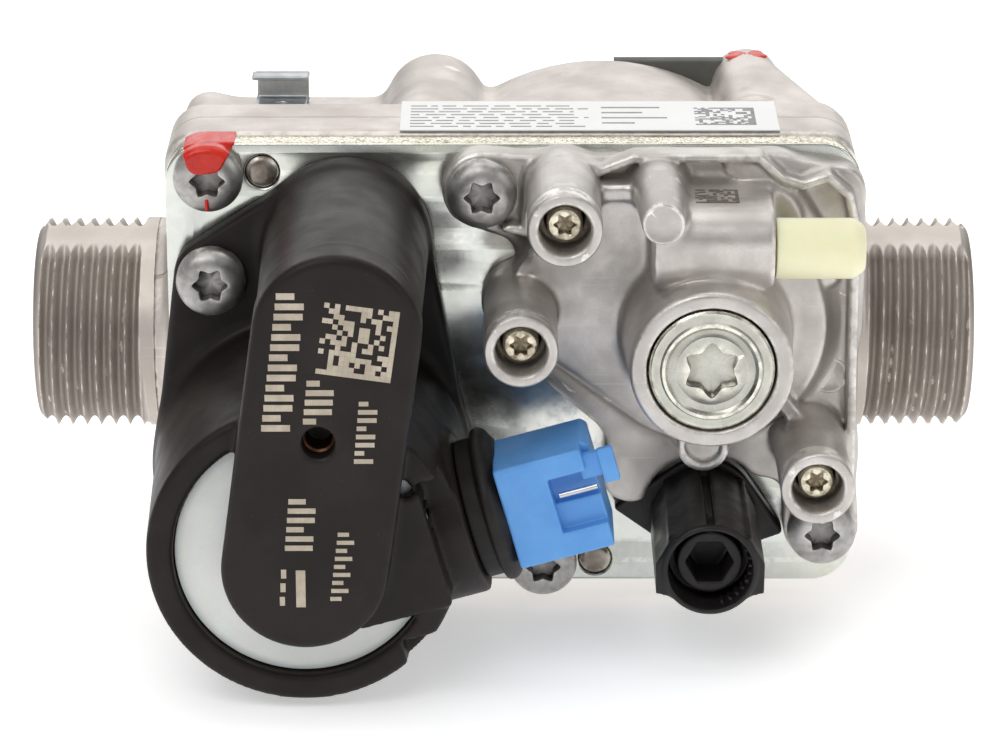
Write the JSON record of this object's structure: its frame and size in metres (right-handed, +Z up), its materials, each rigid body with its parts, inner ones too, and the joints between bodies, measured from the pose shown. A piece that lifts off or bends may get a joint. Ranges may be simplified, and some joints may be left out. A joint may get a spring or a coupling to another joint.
{
  "type": "gas valve",
  "caption": "Combination gas control valve with threaded ports in line, a twin solenoid coil, a servo pressure regulator and a throttle adjuster on its front.",
  "frame": {"origin": "on the pipe axis, midway between the two port ends", "axes": "+X along the pipe from inlet to outlet, -Y out of the front with the coil and regulator, +Z up"},
  "size_m": [0.117, 0.077, 0.0608],
  "materials": {
    "cast_aluminium": "as cast, fine grain",
    "zinc_plate": "zinc plated and passivated",
    "screw_steel": "zinc-nickel plated steel",
    "core_steel": "turned stainless steel",
    "spring_steel": "drawn wire",
    "coil_plastic": "glass-filled moulding",
    "throttle_plastic": "satin moulding",
    "bobbin_plastic": "translucent moulding",
    "plug_plastic": "satin moulding",
    "nylon": "natural nylon",
    "rubber": "moulded",
    "brass": "passivated",
    "copper": "enamelled wire",
    "paper": "printed with plain bars"
  },
  "bodies": {
    "root": {"valve_body": "cast_aluminium", "servo_housing": "cast_aluminium", "body_gasket": "rubber", "yoke_plate": "zinc_plate", "rear_cover": "zinc_plate", "inlet_strainer": "core_steel", "earth_tab": "zinc_plate", "type_label": "paper", "plate_screw_top": "screw_steel", "plate_screw_bottom": "screw_steel", "servo_screw_left": "screw_steel", "servo_screw_bottom": "screw_steel", "coil_screw": "screw_steel", "dowel_pin_top": "screw_steel", "dowel_pin_bottom": "screw_steel", "cover_screw_1": "screw_steel", "cover_screw_2": "screw_steel", "cover_screw_3": "screw_steel", "cover_screw_4": "screw_steel", "coil_housing": "coil_plastic", "main_bobbin": "bobbin_plastic", "pilot_bobbin": "bobbin_plastic", "main_winding": "copper", "pilot_winding": "copper", "connector_seal": "rubber", "connector_plug": "plug_plastic", "contact_blade_1": "core_steel", "contact_blade_2": "core_steel", "main_core_tube": "core_steel", "main_core_stop": "core_steel", "pilot_core_tube": "core_steel", "pilot_core_stop": "core_steel", "main_spring": "spring_steel", "pilot_spring": "spring_steel", "main_diaphragm": "rubber", "outlet_spring": "spring_steel", "servo_diaphragm": "rubber", "servo_spring": "spring_steel", "breather": "nylon", "throttle_base": "throttle_plastic"},
    "main_plunger_body": {"main_plunger": "core_steel", "main_valve_seal": "rubber"},
    "pilot_plunger_body": {"pilot_plunger": "core_steel", "pilot_valve_seal": "rubber"},
    "outlet_valve": {"outlet_valve_disc": "rubber", "outlet_valve_stem": "brass", "diaphragm_plate": "zinc_plate"},
    "servo_disc_body": {"servo_disc": "core_steel"},
    "throttle_knob_body": {"throttle_knob": "throttle_plastic"},
    "throttle_spindle_body": {"throttle_spindle": "brass"},
    "cap_carrier": {"cap_ring": "rubber"},
    "cap": {"servo_cap": "zinc_plate"},
    "adjuster": {"servo_adjuster": "bobbin_plastic"},
    "inlet_tap": {"inlet_tap_screw": "brass"},
    "outlet_tap": {"outlet_tap_screw": "brass"},
    "servo_tap": {"servo_tap_screw": "brass"}
  },
  "joints": [
    {"name": "main_valve_open", "type": "slide", "parent": "root", "child": "main_plunger_body", "axis": [0, -1, 0], "range_m": [0, 0.0025], "stiffness_N_per_m": 900, "springref_m": -0.004, "deforming": ["main_spring"]},
    {"name": "pilot_valve_open", "type": "slide", "parent": "root", "child": "pilot_plunger_body", "axis": [0, -1, 0], "range_m": [0, 0.0015], "stiffness_N_per_m": 600, "springref_m": -0.003, "deforming": ["pilot_spring"]},
    {"name": "outlet_valve_open", "type": "slide", "parent": "root", "child": "outlet_valve", "axis": [0, -1, 0], "range_m": [0, 0.003], "stiffness_N_per_m": 500, "springref_m": -0.004, "deforming": ["outlet_spring", "main_diaphragm"]},
    {"name": "servo_disc_lift", "type": "slide", "parent": "root", "child": "servo_disc_body", "axis": [0, -1, 0], "range_m": [0, 0.001], "stiffness_N_per_m": 800, "springref_m": -0.001, "deforming": ["servo_spring", "servo_diaphragm"]},
    {"name": "throttle_turn", "type": "hinge", "parent": "root", "child": "throttle_knob_body", "pos_m": [0.0246, -0.033, -0.0165], "axis": [0, 1, 0], "range_deg": [0, 1081]},
    {"name": "throttle_feed", "type": "slide", "parent": "root", "child": "throttle_spindle_body", "axis": [0, 1, 0], "range_m": [0, 0.003]},
    {"name": "cap_lift", "type": "slide", "parent": "root", "child": "cap_carrier", "axis": [0, -1, 0], "range_m": [0, 0.003]},
    {"name": "cap_turn", "type": "hinge", "parent": "cap_carrier", "child": "cap", "pos_m": [0.0244, -0.04, 0.0084], "axis": [0, -1, 0], "range_deg": [0, 1081]},
    {"name": "adjuster_turn", "type": "hinge", "parent": "root", "child": "adjuster", "pos_m": [0.0244, -0.0345, 0.0084], "axis": [0, -1, 0], "range_deg": [-720, 720]},
    {"name": "inlet_tap_turn", "type": "hinge", "parent": "root", "child": "inlet_tap", "pos_m": [0.002, -0.038, 0.0107], "axis": [0, -1, 0], "range_deg": [0, 540]},
    {"name": "outlet_tap_turn", "type": "hinge", "parent": "root", "child": "outlet_tap", "pos_m": [0.0372, -0.038, -0.0065], "axis": [0, -1, 0], "range_deg": [0, 540]},
    {"name": "servo_tap_turn", "type": "hinge", "parent": "root", "child": "servo_tap", "pos_m": [0.0071, -0.038, 0.0256], "axis": [0, -1, 0], "range_deg": [0, 540]}
  ],
  "couplings": [
    {"joint": "throttle_turn", "follows": "throttle_feed", "rad_per_m": 6283.2},
    {"joint": "cap_turn", "follows": "cap_lift", "rad_per_m": 6283.2}
  ]
}
